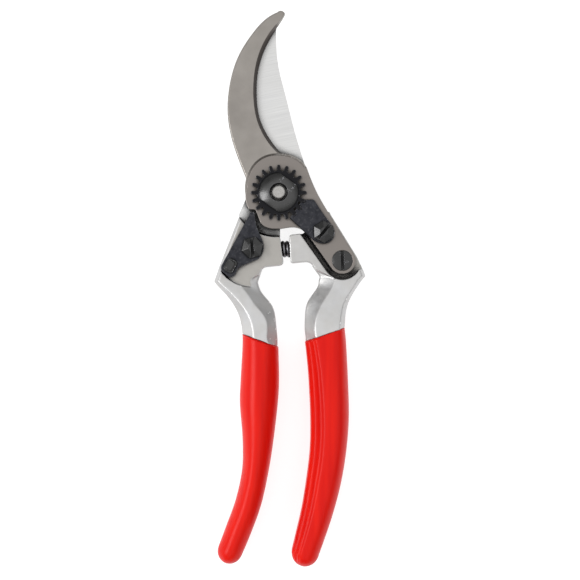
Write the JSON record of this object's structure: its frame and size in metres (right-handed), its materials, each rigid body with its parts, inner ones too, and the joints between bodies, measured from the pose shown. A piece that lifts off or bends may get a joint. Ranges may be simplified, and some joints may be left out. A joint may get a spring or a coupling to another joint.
{
  "type": "bypass pruning shears",
  "caption": "Forged bypass pruning shears with a hooked counter blade, toothed pivot nut, thumb catch, coil return spring and dipped red grips.",
  "frame": {"origin": "on the pivot axis, at the back face of the pivot bolt's head, which the shears rest on", "axes": "+Y from the grips to the blade tips, +Z along the pivot bolt towards the toothed nut, +X to the side of the handle that carries the hook"},
  "size_m": [0.0585, 0.215, 0.0187],
  "materials": {
    "forged_aluminium": "satin, machined pivot face",
    "red_grip": "dipped PVC, glossy",
    "ground_steel": "ground flush",
    "bead_blasted_steel": "bead blasted, satin",
    "zinc_steel": "bright zinc",
    "bronze": "sintered, oiled",
    "black_oxide": "black oxide, oiled",
    "spring_steel": "black spring wire",
    "black_rubber": "moulded"
  },
  "bodies": {
    "left_half": {"left_handle": "forged_aluminium", "left_grip": "red_grip", "cutting_blade": "ground_steel", "blade_rivets": "ground_steel", "pivot_bush": "bronze", "catch_screw": "black_oxide", "catch_washer": "black_oxide", "return_spring": "spring_steel", "stop_bumper": "black_rubber"},
    "right_half": {"right_handle": "forged_aluminium", "right_grip": "red_grip", "hook_blade": "bead_blasted_steel", "tail_screw": "black_oxide", "segment_screw": "black_oxide", "lock_segment": "black_oxide", "toothed_nut": "black_oxide", "pivot_bolt": "zinc_steel", "bolt_washer": "zinc_steel"},
    "catch": {"catch_lever": "black_oxide", "catch_thumb_stud": "black_oxide"}
  },
  "joints": [
    {"name": "handles_open", "type": "hinge", "parent": "left_half", "child": "right_half", "pos_m": [0, 0, 0.01], "axis": [0, 0, 1], "range_deg": [0, 28], "deforming": ["return_spring"]},
    {"name": "catch_swing", "type": "hinge", "parent": "left_half", "child": "catch", "pos_m": [-0.0101, -0.021, 0.0134], "axis": [0, 0, 1], "range_deg": [0, 23]}
  ],
  "couplings": [
    {"joint": "catch_swing", "follows": "handles_open", "ratio": 0.8}
  ]
}
